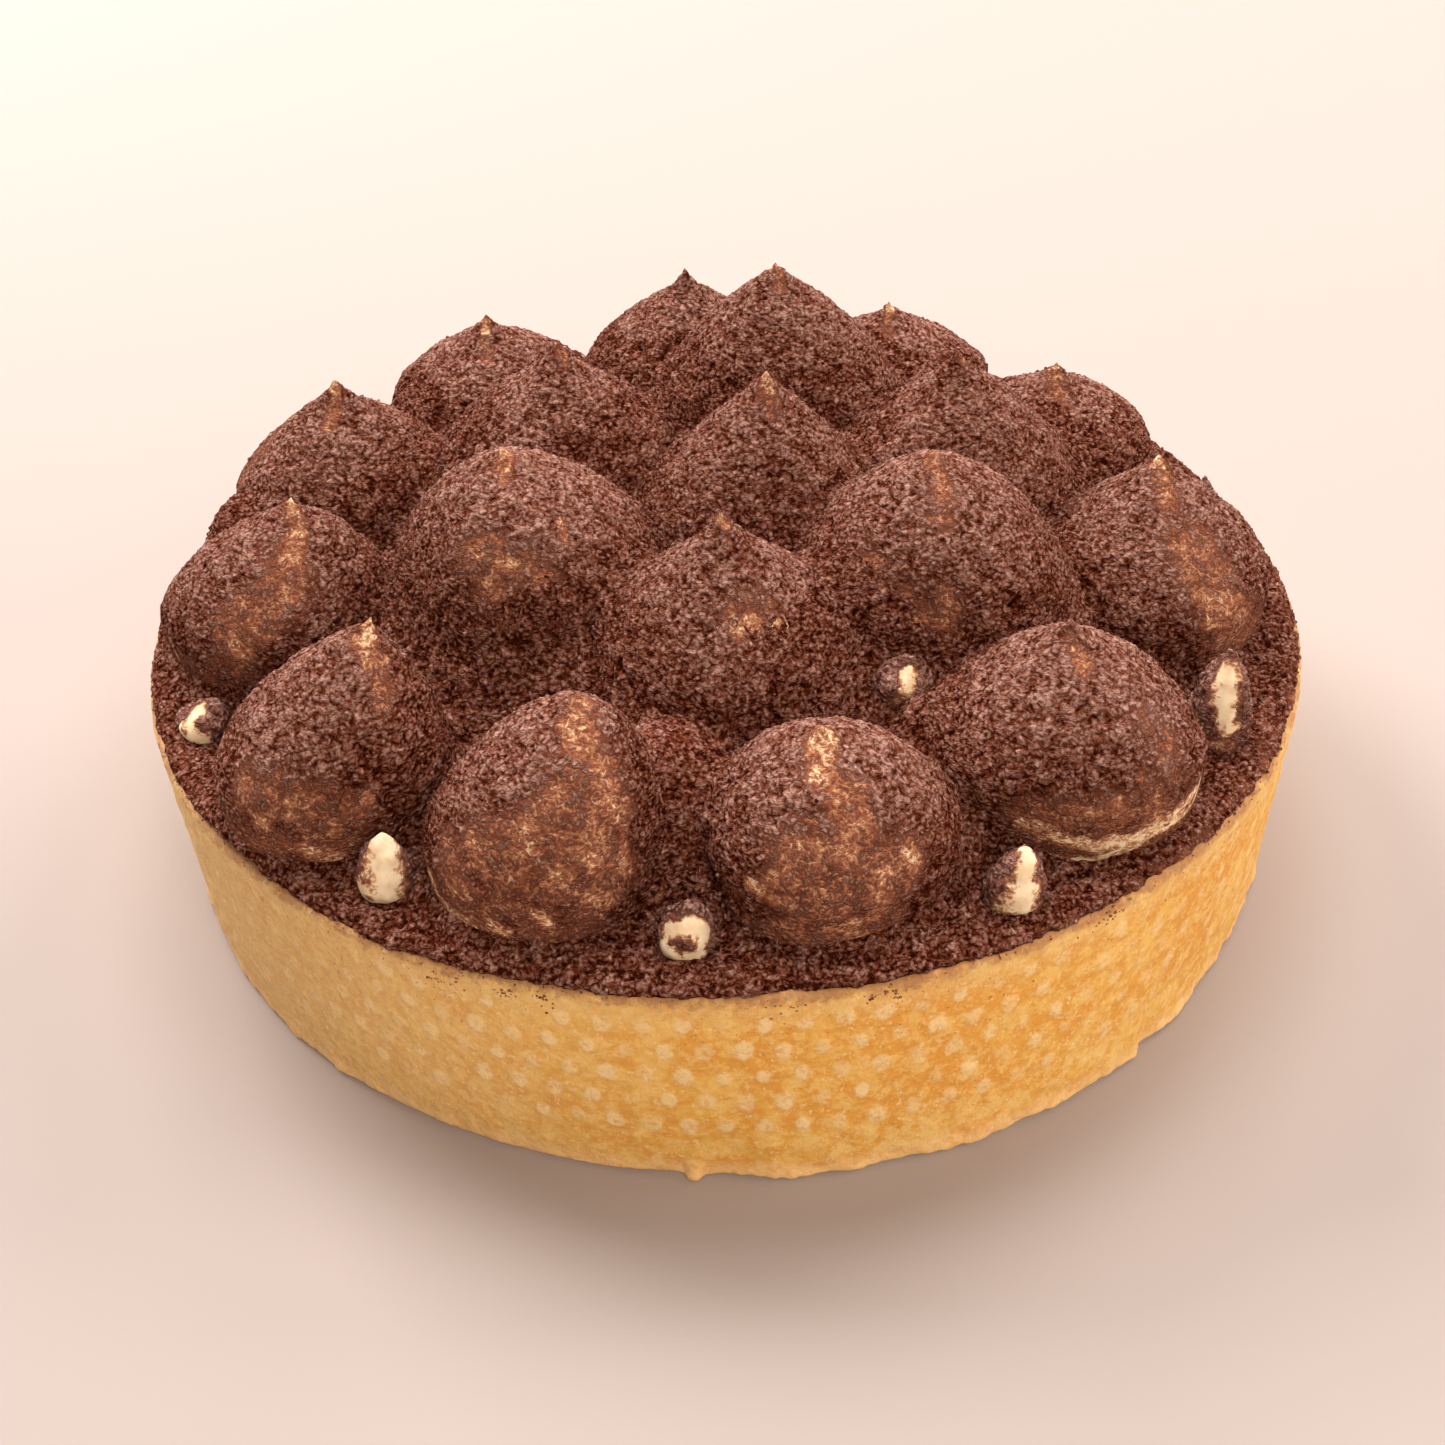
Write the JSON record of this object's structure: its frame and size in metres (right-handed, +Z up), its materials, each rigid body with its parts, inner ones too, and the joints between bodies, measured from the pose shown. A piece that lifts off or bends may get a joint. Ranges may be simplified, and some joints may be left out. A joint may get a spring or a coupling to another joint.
{
  "type": "tiramisu tart",
  "caption": "Round upright shortcrust case filled with cream, topped with rings of pointed piped cream kisses and small drops between them, dusted with cocoa.",
  "frame": {"origin": "centre of the flat underside of the pastry case", "axes": "+Z up along the axis of the case; the front of the picture faces -Y, its right is +X"},
  "size_m": [0.18, 0.18, 0.077],
  "materials": {
    "pastry": "matt baked shortcrust",
    "cream": "soft whipped cream",
    "cocoa": "dry cocoa powder on cream"
  },
  "bodies": {
    "root": {"tart_case": "pastry", "cream_filling": "cream", "kiss_outer_01": "cocoa", "kiss_outer_02": "cocoa", "kiss_outer_03": "cocoa", "kiss_outer_04": "cocoa", "kiss_outer_05": "cocoa", "kiss_outer_06": "cocoa", "kiss_outer_07": "cocoa", "kiss_outer_08": "cocoa", "kiss_outer_09": "cocoa", "kiss_outer_10": "cocoa", "kiss_outer_11": "cocoa", "kiss_inner_01": "cocoa", "kiss_inner_02": "cocoa", "kiss_inner_03": "cocoa", "kiss_inner_04": "cocoa", "kiss_inner_05": "cocoa", "kiss_inner_06": "cocoa", "kiss_centre": "cocoa", "dot_outer_01": "cream", "dot_outer_02": "cream", "dot_outer_03": "cream", "dot_outer_04": "cream", "dot_outer_05": "cream", "dot_outer_06": "cream", "dot_outer_07": "cream", "dot_outer_08": "cream", "dot_outer_09": "cream", "dot_outer_10": "cream", "dot_outer_11": "cream", "dot_inner_01": "cream"}
  },
  "joints": []
}
